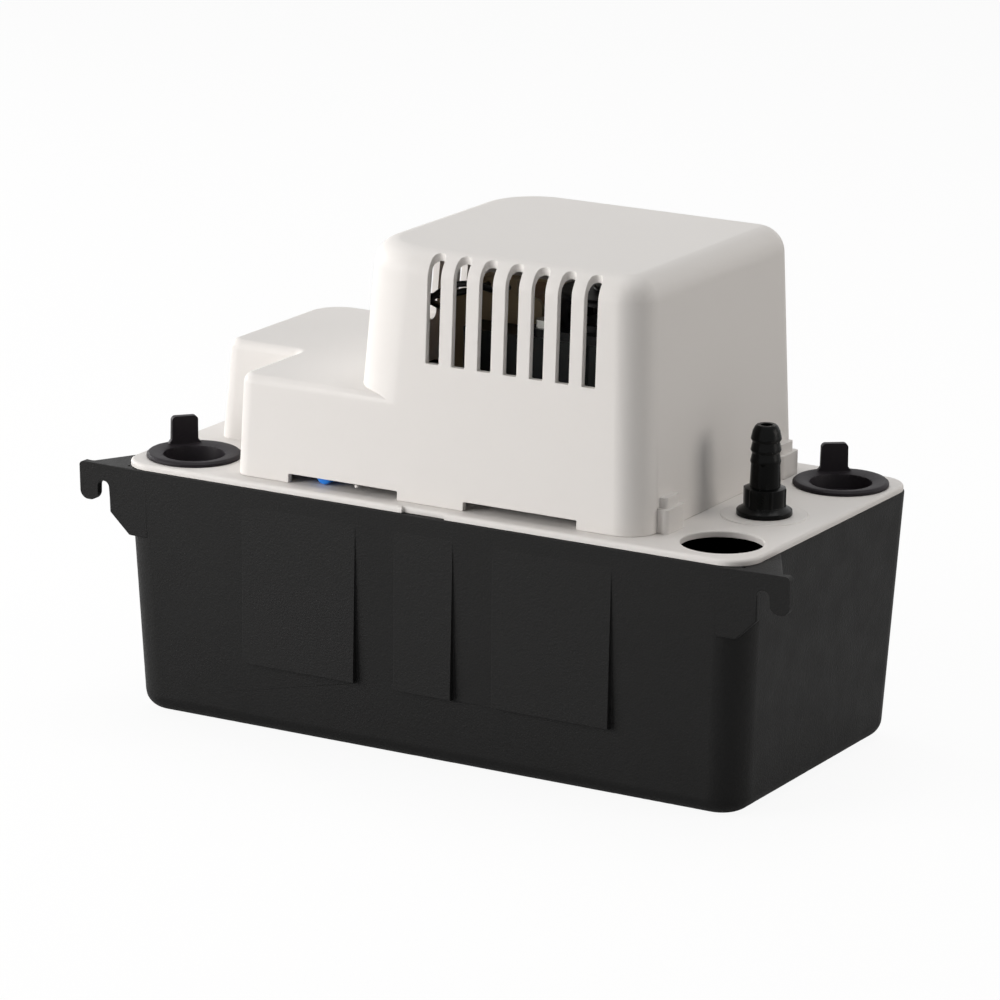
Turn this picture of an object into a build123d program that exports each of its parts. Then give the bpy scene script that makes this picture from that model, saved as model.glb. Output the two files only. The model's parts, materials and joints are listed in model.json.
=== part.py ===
# Condensate pump: a tank with a float switch, a vertical pump and a motor under a vented cover.
# Millimetres, +Z up, X along the long side, Y towards the back, origin under the tank's centre.
from build123d import *
import os
from math import cos, degrees, radians, sin, tan

os.makedirs("parts", exist_ok=True)

# Tank
rim_length = 248.0
rim_width = 128.6
rim_height = 88.9
plan_corner = 11.6
end_draft = 2.6
side_draft = 3.0
tank_wall = 2.5
bottom_fillet = 6.8
panel_bottom = 24.9
panel_proud = 3.0
panel_spans = ((-72.8, -27.2), (-11.5, 11.5), (27.2, 72.8))

# Hanging ears, flush with the front rim: reach from the tank's end, depths below the rim
ear_reach = 15.9
ear_thickness = 3.2
ear_depth = 24.6
ear_shoulder_depth = 17.1
ear_diagonal_run = 7.8
ear_finger_width = 7.4
ear_finger_depth = 13.7
ear_notch_width = 4.8
ear_notch_depth = 6.0
ear_tip_fillet = 1.5
ear_web_thickness = 2.6
ear_web_reach = 27.0

# Deck
deck_thickness = 2.3
deck_edge_fillet = 1.1
deck_skirt_depth = 6.0
deck_skirt_wall = 1.6
seat_clearance = 0.6
lip_notch_half = 8.3
lip_notch_depth = 1.3
deck_rim_inset = 0.4
inlet_radius = 14.1
inlet_end_inset = 19.4
inlet_side_inset = 19.8
inlet_rim_fillet = 0.5

# Inlet plugs
plug_flange_radius = 16.8
plug_flange_thickness = 1.8
plug_cup_radius = 10.9
plug_cup_floor = 4.2
plug_spigot_depth = 6.0
plug_clearance = 0.35
plug_tab_width = 9.4
plug_tab_thickness = 2.4
plug_tab_height = 11.5
plug_tab_corner = 1.6
plug_tab_flare = 1.3
plug_tab_radius = 13.4

# Motor cover
cover_wall = 2.4
cover_draft = 1.8
cover_back_draft = 2.8
cover_end_draft = 4.2
cover_front_inset = 6.5
cover_back_inset = 4.3
cover_low_back_inset = 9.2
cover_right = 81.2
cover_left = 80.0
cover_block_left = 112.6
cover_block_front = 17.0
cover_step_left = 41.6
cover_low_height = 36.0
cover_top_height = 87.4
cover_corner = 11.3
cover_step_corner = 25.0
cover_block_corner = 13.5
cover_small_corner = 6.0
cover_inner_corner = 3.0
cover_top_fillet = 9.3
cover_low_fillet = 3.4
vent_width = 5.0
vent_pitch = 10.07
vent_count = 7
vent_centre = 28.7
vent_bottom = 49.2
vent_reach = 8.0
vent_overcut = 4.0
side_vent_count = 4
side_vent_centre = 7.0
side_vent_top = 76.4
cable_gap_height = 3.2
cable_gaps = ((-57.5, -14.0), (12.2, 56.1))
gap_rib_x = -30.5
gap_rib_width = 1.2
gap_rib_height = 1.3
lug_proud = 3.9
lug_height = 8.4
lug_upper_height = 3.6
lug_width = 12.8
lug_front_inset = 11.0
lug_back_inset = 9.2

# Motor
motor_x = 40.0
motor_y = 0.0
stack_rise = 31.8
stack_height = 24.0
stack_half_x = 22.0
stack_half_y = 27.0
limb_width = 13.0
coil_gap = 11.0
core_width = 14.0
rotor_radius = 15.0
air_gap = 0.4
shaft_radius = 3.2
running_clearance = 0.04
motor_bolt_x = 17.0
motor_bolt_y = 21.5
motor_bolt_radius = 1.9
bolt_clearance = 0.2
bobbin_wall = 1.2
coil_depth = 9.0
bracket_plate = 3.0
bracket_cup_radius = 21.5
bracket_cup_height = 11.0
bracket_wall = 2.2
hub_bottom = 6.0
bearing_radius = 6.5
bearing_length = 9.0
mount_plate = 3.0
mount_half = 32.0
mount_screw_offset = 27.0
fan_radius = 22.0
fan_height = 8.0
fan_rise = 4.4
fan_blades = 9

# Pump
column_radius = 16.0
column_wall = 2.2
column_flange_radius = 26.0
column_flange = 3.0
column_screw_circle = 21.0
column_window_inset = 16.0
column_window_width = 9.0
column_window_height = 12.0
volute_top = 32.0
volute_bottom = 14.0
volute_wall = 2.2
volute_start_radius = 19.0
volute_end_radius = 28.0
volute_throat_offset = 2.0
spiral_start = -50.0
spiral_end = 270.0
spiral_steps = 12
volute_outlet_reach = 30.0
volute_cover_thickness = 2.6
inlet_eye_radius = 7.0
impeller_radius = 16.8
impeller_blades = 6
impeller_blade_height = 7.0
impeller_gap = 1.0
spigot_radius = 4.5
spigot_bore = 3.1
spigot_length = 11.0
tube_clearance = 0.1
tube_wall = 1.7

# Discharge check valve
valve_x = 100.6
valve_y = -6.0
valve_flange_radius = 9.6
valve_hex_radius = 7.5
valve_shank_radius = 6.6
valve_chamber_radius = 4.6
valve_bore = 2.0
valve_spigot_drop = 22.9
valve_chamber_drop = 7.0
valve_flange_thickness = 1.7
valve_hex_start = 3.1
valve_hex_height = 6.3
valve_shank_length = 8.2
valve_barb_length = 13.7

# Float and switch
float_x = -78.0
float_y = 16.0
float_length = 56.0
float_side_inset = 17.3
float_height = 28.0
float_rest = 12.0
float_travel = 16.0
rod_radius = 1.9
lever_arm = 44.0
lever_eye_radius = 6.0
lever_thickness = 2.5
lever_width = 7.0
pivot_height = 13.3
pin_radius = 1.5
lever_hub_radius = 3.0
button_arm = 6.0
button_radius = 1.2
switch_length = 20.0
switch_width = 6.5
switch_height = 10.0

# Places that follow from those sizes
ear_tip = rim_length / 2 + ear_reach
ear_notch_outer = ear_tip - ear_finger_width
ear_notch_inner = ear_notch_outer - ear_notch_width
ear_bottom = rim_height - ear_depth
deck_top = rim_height + deck_thickness
inlet_x = rim_length / 2 - inlet_end_inset
inlet_y = rim_width / 2 - inlet_side_inset
cover_front = rim_width / 2 - cover_front_inset
cover_back = rim_width / 2 - cover_back_inset
cover_low_back = rim_width / 2 - cover_low_back_inset
stack_bottom = deck_top + stack_rise
stack_top = stack_bottom + stack_height
fan_floor = deck_top + fan_rise
float_width = 2 * (rim_width / 2 - float_side_inset - float_y)
motor_axis = Location((motor_x, motor_y, 0))
valve_axis = Location((valve_x, valve_y, 0))


def save(part, name):
    """Name a finished piece and write it."""
    part.label = name
    export_step(part, f"parts/{name}.step")


def around_motor(radius, turn):
    """Point at a radius and turn angle about the motor axis."""
    return (motor_x + radius * cos(radians(turn)), motor_y + radius * sin(radians(turn)))


def tank_outline(height, inset):
    """Rounded plan outline of the drafted tank at one height."""
    length = rim_length - 2 * (rim_height - height) * tan(radians(end_draft)) - 2 * inset
    width = rim_width - 2 * (rim_height - height) * tan(radians(side_draft)) - 2 * inset
    with BuildSketch(Plane.XY.offset(height)) as outline:
        RectangleRounded(length, width, plan_corner - inset)
    return outline.sketch


def revolved(points, place):
    """Turned piece from its half profile of radius and height pairs, placed on an upright axis."""
    with BuildPart() as piece:
        with BuildSketch(Plane.XZ):
            with BuildLine():
                Polyline(*points, close=True)
            make_face()
        revolve(axis=Axis.Z)
    return piece.part.moved(place)


# Tank: drafted bin with raised panels, ears and an open top
panel_face = rim_width / 2 - (rim_height - panel_bottom) * tan(radians(side_draft)) + panel_proud
panel_top = rim_height - (rim_width / 2 - panel_face) / tan(radians(side_draft))
floor_height = tank_wall

with BuildPart() as tank:
    loft([tank_outline(0, 0), tank_outline(rim_height, 0)])
    fillet(tank.faces().sort_by(Axis.Z)[0].edges(), bottom_fillet)
    for low_x, high_x in panel_spans:
        with BuildSketch(Plane.YZ.offset(low_x)) as panel_section:
            with BuildLine() as panel_line:
                Polyline(
                    (panel_face - 2 * panel_proud, panel_bottom),
                    (panel_face, panel_bottom),
                    (panel_face, panel_top),
                    (panel_face - 2 * panel_proud, panel_top),
                    close=True,
                )
            make_face()
            mirror(about=Plane.YZ)
        extrude(amount=high_x - low_x)
    for side in (1, -1):
        with BuildSketch(Plane.XZ.offset(rim_width / 2)) as ear_plate:
            with BuildLine() as ear_line:
                Polyline(
                    (side * (rim_length / 2 - plan_corner), ear_bottom),
                    (side * (ear_notch_inner - ear_diagonal_run), ear_bottom),
                    (side * ear_notch_inner, rim_height - ear_shoulder_depth),
                    (side * ear_notch_inner, rim_height - ear_notch_depth),
                    (side * ear_notch_outer, rim_height - ear_notch_depth),
                    (side * ear_notch_outer, rim_height - ear_finger_depth),
                    (side * ear_tip, rim_height - ear_finger_depth),
                    (side * ear_tip, rim_height),
                    (side * (rim_length / 2 - plan_corner), rim_height),
                    close=True,
                )
            make_face()
            for depth, width in ((ear_notch_depth, ear_notch_width), (ear_finger_depth, ear_finger_width)):
                ends = [corner for corner in ear_plate.vertices() if abs(corner.Y - rim_height + depth) < 0.1]
                fillet(ends, 0.45 * width)
            fillet(ear_plate.vertices().sort_by_distance((side * ear_tip, rim_height, 0))[0], ear_tip_fillet)
        extrude(amount=-ear_thickness)
        with BuildSketch(Plane.XY.offset(rim_height - ear_web_thickness)) as ear_web:
            with BuildLine() as web_line:
                Polyline(
                    (side * (rim_length / 2 - tank_wall), -rim_width / 2 + ear_thickness / 2),
                    (side * (ear_tip - 3.2), -rim_width / 2 + ear_thickness / 2),
                    (side * (rim_length / 2 - 1.0), -rim_width / 2 + ear_web_reach),
                    (side * (rim_length / 2 - tank_wall), -rim_width / 2 + ear_web_reach),
                    close=True,
                )
            make_face()
        extrude(amount=ear_web_thickness)
    loft([tank_outline(floor_height, tank_wall), tank_outline(rim_height, tank_wall)], mode=Mode.SUBTRACT)
    floor_edges = tank.faces().filter_by(Plane.XY).sort_by(Axis.Z)[1].edges()
    fillet(floor_edges, bottom_fillet - tank_wall)
save(tank.part, "tank")

# Places of the screws that hold the motor mount, pump column and switch bracket to the deck
screw_radius = 1.5
pan_head_radius = 2.9
pan_head_height = 2.0
deck_boss_depth = 6.0
pivot_x = float_x + lever_arm
bracket_y = float_y + switch_width / 2 + 0.75
mount_screw_places = [
    (motor_x + side_x * mount_screw_offset, motor_y + side_y * mount_screw_offset)
    for side_x in (-1, 1)
    for side_y in (-1, 1)
]
column_screw_places = [around_motor(column_screw_circle, turn) for turn in (45, 135, 225, 315)]
bracket_screw_places = [(pivot_x - 12.0, bracket_y + 9.0), (pivot_x + 8.0, bracket_y + 9.0)]

# Deck: lid plate on the rim with inlet holes, collars and a locating skirt
inlet_places = ((inlet_x, -inlet_y), (inlet_x, inlet_y), (-inlet_x, -inlet_y))
skirt_inset = tank_wall + seat_clearance
guide_length = 10.0
guide_wall = 2.5
shaft_collar_radius = 8.0
shaft_hole_radius = 5.5
pad_radius = 15.0
pad_height = 0.4
valve_seat_height = deck_top + pad_height

with BuildPart() as deck:
    with BuildSketch(Plane.XY.offset(rim_height)):
        RectangleRounded(
            rim_length - 2 * deck_rim_inset,
            rim_width - 2 * deck_rim_inset,
            plan_corner - deck_rim_inset,
        )
        with Locations((0, deck_rim_inset - rim_width / 2), (0, rim_width / 2 - deck_rim_inset)):
            Rectangle(2 * lip_notch_half, 2 * lip_notch_depth, mode=Mode.SUBTRACT)
    extrude(amount=deck_thickness)
    fillet(deck.faces().sort_by(Axis.Z)[-1].edges(), deck_edge_fillet)
    with BuildSketch(Plane.XY.offset(rim_height)):
        RectangleRounded(rim_length - 2 * skirt_inset, rim_width - 2 * skirt_inset, plan_corner - skirt_inset)
        RectangleRounded(
            rim_length - 2 * skirt_inset - 2 * deck_skirt_wall,
            rim_width - 2 * skirt_inset - 2 * deck_skirt_wall,
            plan_corner - skirt_inset - deck_skirt_wall,
            mode=Mode.SUBTRACT,
        )
    extrude(amount=-deck_skirt_depth)
    with BuildSketch(Plane.XY.offset(deck_top)):
        with Locations((valve_x, valve_y)):
            Circle(pad_radius)
    extrude(amount=pad_height)
    with BuildSketch(Plane.XY.offset(deck_top)):
        with Locations((motor_x, motor_y)):
            Circle(shaft_collar_radius)
    extrude(amount=2.0)
    with BuildSketch(Plane.XY.offset(rim_height)):
        with Locations((float_x, float_y)):
            Circle(rod_radius + guide_wall)
    extrude(amount=-guide_length)
    with BuildSketch(Plane.XY.offset(rim_height)):
        with Locations(*mount_screw_places):
            Circle(4.0)
    extrude(amount=-deck_boss_depth)
    with BuildSketch(Plane.XY.offset(deck_top + 4)):
        with Locations(*column_screw_places, *mount_screw_places, *bracket_screw_places):
            Circle(screw_radius + bolt_clearance)
        with Locations(*inlet_places):
            Circle(inlet_radius)
        with Locations((motor_x, motor_y)):
            Circle(shaft_hole_radius)
        with Locations((float_x, float_y)):
            Circle(rod_radius + running_clearance)
        with Locations((valve_x, valve_y)):
            Circle(valve_shank_radius + tube_clearance)
    extrude(amount=-30, mode=Mode.SUBTRACT)
    rim_edges = [
        edge
        for edge in deck.edges().filter_by(GeomType.CIRCLE)
        if abs(edge.radius - inlet_radius) < 0.01 and abs(edge.center().Z - deck_top) < 0.01
    ]
    fillet(rim_edges, inlet_rim_fillet)
save(deck.part, "deck")


def inlet_plug(place_x, place_y, tab_angle):
    """Rubber plug: a cup in the hole, a flange that slopes into it, and a pull tab on the flange's rim."""
    spigot = inlet_radius - plug_clearance
    plug_profile = [(0, -plug_spigot_depth), (spigot - 0.6, -plug_spigot_depth), (spigot, 0.6 - plug_spigot_depth)]
    plug_profile += [(spigot, 0), (plug_flange_radius - 0.3, 0), (plug_flange_radius, 0.4)]
    plug_profile += [(plug_flange_radius, 1.1), (plug_flange_radius - 0.8, plug_flange_thickness)]
    plug_profile += [(plug_flange_radius - 2.0, plug_flange_thickness), (plug_cup_radius, 0.9)]
    plug_profile += [(plug_cup_radius - 0.8, -plug_cup_floor), (0, -plug_cup_floor)]
    with BuildPart() as plug:
        add(revolved(plug_profile, Location((0, 0, 0))))
        with BuildSketch(Plane.YZ.offset(plug_tab_radius - plug_tab_thickness / 2)) as tab:
            with BuildLine():
                Polyline(
                    (-plug_tab_width / 2 - plug_tab_flare, 0.5),
                    (-plug_tab_width / 2 - plug_tab_flare, plug_flange_thickness - 0.2),
                    (-plug_tab_width / 2 - 0.2, plug_flange_thickness + plug_tab_flare),
                    (-plug_tab_width / 2, plug_tab_height),
                    (plug_tab_width / 2, plug_tab_height),
                    (plug_tab_width / 2 + 0.2, plug_flange_thickness + plug_tab_flare),
                    (plug_tab_width / 2 + plug_tab_flare, plug_flange_thickness - 0.2),
                    (plug_tab_width / 2 + plug_tab_flare, 0.5),
                    close=True,
                )
            make_face()
            fillet(tab.vertices().group_by(Axis.Y)[-1], plug_tab_corner)
        extrude(amount=plug_tab_thickness)
    return plug.part.rotate(Axis.Z, tab_angle).moved(Location((place_x, place_y, deck_top)))


save(inlet_plug(-inlet_x, -inlet_y, 138.0), "inlet_plug_left")
save(inlet_plug(inlet_x, inlet_y, 127.0), "inlet_plug_right")


# Motor cover: a drafted two-level shell with vents, cable gaps and snap lugs
def drawn_in(place, draft, rise):
    """Distance of a drafted wall from the middle, at a rise above the deck."""
    return place - rise * tan(radians(draft))


def drafted_block(left, right, front, back, height, inset):
    """Block on the deck between four walls, each a place on the deck with its draft, set in by the inset."""
    rise = height - inset
    with BuildPart() as block:
        for view, near, far, mode in ((Plane.XZ, left, right, Mode.ADD), (Plane.YZ, front, back, Mode.INTERSECT)):
            with BuildSketch(view):
                with BuildLine():
                    Polyline(
                        (inset - near[0], deck_top),
                        (far[0] - inset, deck_top),
                        (drawn_in(*far, rise) - inset, deck_top + rise),
                        (inset - drawn_in(*near, rise), deck_top + rise),
                        close=True,
                    )
                make_face()
            extrude(amount=rim_length, both=True, mode=mode)
    return block.part


def upright_edge(body, place_x, place_y):
    """Corner edge of a block nearest to a place on the deck."""
    upright = [edge for edge in body.edges() if abs(edge.tangent_at(0).Z) > 0.9]
    return ShapeList(upright).sort_by_distance((place_x, place_y, deck_top))[0]


def cover_body(inset):
    """Outer form of the cover, or its hollow when set in by the wall."""
    step_wall = (cover_step_left, cover_end_draft)
    right_wall = (cover_right, cover_draft)
    front_wall = (cover_front, cover_draft)
    left_wall = (cover_left, cover_draft)
    low_back_wall = (cover_low_back, cover_back_draft)
    block_wall = (cover_block_left, cover_end_draft)
    block_front_wall = (cover_block_front, cover_draft)
    with BuildPart() as body:
        add(drafted_block(step_wall, right_wall, front_wall, (cover_back, cover_back_draft), cover_top_height, inset))
        for place_x, radius in ((cover_right, cover_corner), (-cover_step_left, cover_step_corner)):
            for place_y in (-cover_front, cover_back):
                fillet(upright_edge(body, place_x, place_y), radius - inset)
        fillet(body.faces().sort_by(Axis.Z)[-1].edges(), cover_top_fillet - inset)
        with BuildPart(mode=Mode.PRIVATE) as low:
            add(drafted_block(left_wall, (motor_x, 0), front_wall, low_back_wall, cover_low_height, inset))
            add(drafted_block(block_wall, (0, 0), block_front_wall, low_back_wall, cover_low_height, inset))
            for place_x, place_y, radius in (
                (-cover_left, -cover_front, cover_small_corner - inset),
                (-cover_block_left, cover_low_back, cover_block_corner - inset),
                (-cover_block_left, -cover_block_front, cover_small_corner - inset),
                (-cover_left, -cover_block_front, cover_inner_corner + inset),
            ):
                fillet(upright_edge(low, place_x, place_y), radius)
            top_edges = low.faces().sort_by(Axis.Z)[-1].edges().sort_by(Axis.X)
            fillet(top_edges[:-1], cover_low_fillet - inset)
        add(low.part)
    return body.part


grommet_x = -62.0
grommet_height = 14.0
grommet_radius = 7.0
grommet_groove = 5.5
grommet_bore = 3.5
vent_bottom_height = deck_top + vent_bottom

with BuildPart() as cover:
    add(cover_body(0))
    add(cover_body(cover_wall), mode=Mode.SUBTRACT)
    vent_length = vent_reach + vent_overcut
    for vent_y in (vent_overcut - vent_length / 2 + cover_back, -vent_overcut + vent_length / 2 - cover_front):
        with BuildSketch(Plane.XY.offset(vent_bottom_height)):
            with Locations((vent_centre, vent_y)):
                with GridLocations(vent_pitch, 1, vent_count, 1):
                    SlotOverall(vent_length, vent_width, rotation=90)
        extrude(amount=cover_top_height, mode=Mode.SUBTRACT)
    with BuildSketch(Plane.YZ.offset(-cover_step_left - 1.0)):
        with Locations((side_vent_centre, (vent_bottom_height + deck_top + side_vent_top) / 2)):
            with GridLocations(vent_pitch, 1, side_vent_count, 1):
                SlotCenterToCenter(deck_top + side_vent_top - vent_bottom_height - vent_width, vent_width, rotation=90)
    extrude(amount=cover_corner, mode=Mode.SUBTRACT)
    for low_x, high_x in cable_gaps:
        with BuildSketch(Plane.XZ.offset(cover_front + 1.0)):
            with Locations(((low_x + high_x) / 2, deck_top)):
                Rectangle(high_x - low_x, 2 * cable_gap_height)
        extrude(amount=-(cover_wall + 2.0), mode=Mode.SUBTRACT)
    with BuildSketch(Plane.XZ.offset(cover_front - 0.4)):
        with Locations((gap_rib_x, deck_top + cable_gap_height - gap_rib_height / 2 + 0.3)):
            Rectangle(gap_rib_width, gap_rib_height + 0.6)
    extrude(amount=0.8 - cover_wall)
    with BuildSketch(Plane.XZ.offset(-cover_low_back - 2.0)):
        with Locations((grommet_x, deck_top + grommet_height)):
            Circle(grommet_groove + tube_clearance)
    extrude(amount=cover_wall + 5.0, mode=Mode.SUBTRACT)
    for low_y in (lug_front_inset - cover_front, cover_back - lug_back_inset - lug_width):
        high_y = low_y + lug_width
        with BuildSketch(Plane.XY.offset(deck_top)) as lug_foot:
            with Locations((cover_right + lug_proud / 2 - cover_wall / 2, (low_y + high_y) / 2)):
                Rectangle(lug_proud + cover_wall, high_y - low_y)
            fillet(lug_foot.vertices().group_by(Axis.X)[-1], 1.6)
        extrude(amount=lug_height)
        with BuildSketch(Plane.XY.offset(deck_top + lug_height)) as lug_head:
            with Locations((cover_right + lug_proud / 2 - cover_wall / 2 - 0.7, (low_y + high_y) / 2)):
                Rectangle(lug_proud + cover_wall - 1.4, high_y - low_y - 3.6)
            fillet(lug_head.vertices().group_by(Axis.X)[-1], 1.2)
        extrude(amount=lug_upper_height)
save(cover.part, "motor_cover")

# Cord grommet in the cover's back wall
grommet_wall_y = drawn_in(cover_low_back, cover_back_draft, grommet_height)
with BuildPart() as grommet:
    with BuildSketch(Plane.XZ.offset(-grommet_wall_y - 2.0)):
        with Locations((grommet_x, deck_top + grommet_height)):
            Circle(grommet_radius)
            Circle(grommet_bore, mode=Mode.SUBTRACT)
    extrude(amount=cover_wall + 4.0)
    with BuildSketch(Plane.XZ.offset(-grommet_wall_y - 0.3)):
        with Locations((grommet_x, deck_top + grommet_height)):
            Circle(grommet_radius + 1.0)
            Circle(grommet_groove, mode=Mode.SUBTRACT)
    extrude(amount=cover_wall + 0.6, mode=Mode.SUBTRACT)
save(grommet.part, "cord_grommet")


def disc(height, thickness, radius, bore=0.0):
    """Round plate or sleeve on the motor axis, standing on the given height."""
    with BuildPart() as piece:
        with BuildSketch(Plane.XY.offset(height)):
            with Locations((motor_x, motor_y)):
                Circle(radius)
                if bore:
                    Circle(bore, mode=Mode.SUBTRACT)
        extrude(amount=thickness)
    return piece.part


# Pump: column, volute, impeller and discharge tube below the deck
column_bottom = volute_top
column_bore = column_radius - column_wall
flange_bottom = rim_height - column_flange

with BuildPart() as column:
    add(disc(column_bottom, flange_bottom - column_bottom, column_radius, column_bore))
    add(disc(flange_bottom, column_flange, column_flange_radius, column_bore))
    with BuildSketch(Plane.XY.offset(flange_bottom - 1)):
        with Locations((motor_x, motor_y)):
            with PolarLocations(column_screw_circle, 4, 45):
                Circle(screw_radius + bolt_clearance)
    extrude(amount=column_flange + 2, mode=Mode.SUBTRACT)
    for height in (column_bottom + column_window_inset, flange_bottom - column_window_inset - 2.0):
        with BuildPart(mode=Mode.PRIVATE) as window:
            with PolarLocations(column_radius, 3):
                Box(4 * column_wall, column_window_width, column_window_height)
        add(window.part.moved(Location((motor_x, motor_y, height))), mode=Mode.SUBTRACT)
save(column.part, "pump_column")


def volute_reach(turn):
    """Outer radius of the spiral at one turn angle."""
    grown = (turn - spiral_start) / (spiral_end - spiral_start)
    return volute_start_radius + (volute_end_radius - volute_start_radius) * grown


def volute_outline(inset):
    """Plan of the spiral casing with its outlet towards +X, grown or shrunk by the inset."""
    spiral = []
    for step in range(spiral_steps + 1):
        turn = spiral_start + (spiral_end - spiral_start) * step / spiral_steps
        spiral.append(around_motor(volute_reach(turn) - inset, turn))
    outer_y = motor_y - volute_end_radius + inset
    inner_y = motor_y - volute_start_radius + volute_throat_offset - inset
    with BuildSketch(Plane.XY.offset(volute_bottom)) as outline:
        with BuildLine():
            Spline(*spiral)
            Polyline(
                spiral[-1],
                (motor_x + volute_outlet_reach, outer_y),
                (motor_x + volute_outlet_reach, inner_y),
                (motor_x + 0.8 * volute_start_radius, inner_y),
                spiral[0],
            )
        make_face()
    return outline.sketch


outlet_y = motor_y - (volute_start_radius + volute_end_radius) / 2 + volute_throat_offset / 2
outlet_z = (volute_bottom + volute_top) / 2
chamber_height = volute_top - volute_bottom - volute_wall
seal_radius = shaft_radius + 0.3
volute_ears = [around_motor(volute_reach(turn) + 1.8, turn) for turn in (20.0, 110.0, 200.0)]
volute_ear_radius = 3.8

with BuildPart() as volute:
    extrude(volute_outline(0), amount=volute_top - volute_bottom)
    with BuildSketch(Plane.XY.offset(volute_bottom)):
        with Locations(*volute_ears):
            Circle(volute_ear_radius)
    extrude(amount=chamber_height / 2)
    extrude(volute_outline(volute_wall), amount=chamber_height, mode=Mode.SUBTRACT)
    with BuildSketch(Plane.YZ.offset(motor_x + volute_outlet_reach)):
        with Locations((outlet_y, outlet_z)):
            Circle(spigot_radius)
    extrude(amount=spigot_length)
    with BuildSketch(Plane.YZ.offset(motor_x + volute_outlet_reach - 2 * volute_wall)):
        with Locations((outlet_y, outlet_z)):
            Circle(spigot_bore)
    extrude(amount=spigot_length + 3 * volute_wall, mode=Mode.SUBTRACT)
    with Locations((motor_x, motor_y, volute_top - volute_wall / 2)):
        Cylinder(seal_radius, 3 * volute_wall, mode=Mode.SUBTRACT)
    with BuildSketch(Plane.XY.offset(volute_bottom)):
        with Locations(*volute_ears):
            Circle(screw_radius + bolt_clearance)
    extrude(amount=chamber_height / 2 - 1.5, mode=Mode.SUBTRACT)
save(volute.part, "volute_housing")

with BuildPart() as volute_cover:
    with BuildSketch(Plane.XY.offset(volute_bottom - volute_cover_thickness)):
        add(volute_outline(0).moved(Location((0, 0, -volute_bottom))))
        with Locations(*volute_ears):
            Circle(volute_ear_radius)
        with Locations((motor_x, motor_y)):
            Circle(inlet_eye_radius, mode=Mode.SUBTRACT)
        with Locations(*volute_ears):
            Circle(screw_radius + bolt_clearance, mode=Mode.SUBTRACT)
    extrude(amount=volute_cover_thickness)
    foot_height = volute_bottom - volute_cover_thickness - floor_height - 0.3
    with BuildSketch(Plane.XY.offset(volute_bottom - volute_cover_thickness)):
        with Locations((motor_x, motor_y)):
            with PolarLocations(volute_start_radius - 3.0, 3, 60):
                Circle(2.5)
    extrude(amount=-foot_height)
save(volute_cover.part, "volute_cover")

# Impeller: shroud disc with curved vanes and a hub on the shaft
impeller_floor = volute_bottom + impeller_gap
impeller_disc = 2.0
impeller_hub = 6.0
shroud_height = impeller_floor + impeller_blade_height
with BuildPart() as impeller:
    with BuildSketch(Plane.XY.offset(shroud_height)):
        Circle(impeller_radius)
    extrude(amount=impeller_disc)
    with BuildSketch(Plane.XY.offset(impeller_floor)) as vanes:
        with BuildLine():
            inner_arc = ThreePointArc((5.0, 0.0), (11.0, 2.8), (impeller_radius - 0.1, 0.0))
            outer_arc = ThreePointArc((5.0, 1.6), (11.0, 4.4), (impeller_radius - 0.5, 1.8))
            Line(inner_arc @ 0, outer_arc @ 0)
            Line(inner_arc @ 1, outer_arc @ 1)
        make_face()
    vane = extrude(vanes.sketch, amount=impeller_blade_height, mode=Mode.PRIVATE)
    for turn in range(impeller_blades):
        add(vane.rotate(Axis.Z, turn * 360 / impeller_blades))
    with BuildSketch(Plane.XY.offset(impeller_floor + 1.5)):
        Circle(impeller_hub)
    extrude(amount=impeller_blade_height + impeller_disc)
    with Locations((0, 0, shroud_height)):
        Cylinder(shaft_radius, 3 * impeller_blade_height, mode=Mode.SUBTRACT)
impeller_part = impeller.part.moved(motor_axis)
save(impeller_part, "impeller")

# Discharge tube from the volute's spigot to the check valve
tube_start = (motor_x + volute_outlet_reach + 1.0, outlet_y, outlet_z)
valve_spigot_bottom = rim_height - valve_spigot_drop
tube_end = (valve_x, valve_y, valve_spigot_bottom + spigot_length - 1.0)
with BuildLine() as tube_route:
    FilletPolyline(
        tube_start,
        (valve_x, outlet_y, outlet_z),
        (valve_x, valve_y, (outlet_z + tube_end[2]) / 2),
        tube_end,
        radius=(11.0, 13.0),
    )
tube_bore = spigot_radius + tube_clearance
with BuildPart() as tube:
    with BuildSketch(Plane(origin=tube_start, z_dir=(1, 0, 0))):
        Circle(tube_bore + tube_wall)
    sweep(path=tube_route.line)
    with BuildSketch(Plane(origin=tube_start, z_dir=(1, 0, 0))):
        Circle(tube_bore)
    sweep(path=tube_route.line, mode=Mode.SUBTRACT)
save(tube.part, "discharge_tube")


def screw_group(places, height, length, head_below=False):
    """Identical pan head screws standing on one height, heads above or below their shanks."""
    with BuildPart() as screws:
        for place_x, place_y in places:
            with BuildSketch(Plane.XY.offset(height)):
                with Locations((place_x, place_y)):
                    Circle(screw_radius)
            extrude(amount=length if head_below else -length)
            with BuildSketch(Plane.XY.offset(height)):
                with Locations((place_x, place_y)):
                    Circle(pan_head_radius)
            head = extrude(amount=-pan_head_height if head_below else pan_head_height)
        fillet(screws.faces().sort_by(Axis.Z)[0 if head_below else -1].edges(), 0.6)
    return screws.part


# Check valve: barbed body, sprung poppet, seat ring and the lower spigot
hex_bottom = valve_seat_height + valve_hex_start
hex_top = hex_bottom + valve_hex_height
barb_root = hex_top + valve_shank_length
barb_radius = 5.3
barb_neck = 4.7
shank_radius = 5.2
barb_pitch = 3.9
valve_top = barb_root + valve_barb_length
valve_tip_radius = 4.0
chamber_floor = rim_height - valve_chamber_drop
chamber_roof = hex_top - 1.0
seat_top = chamber_floor
spigot_top = valve_spigot_bottom + spigot_length

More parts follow.
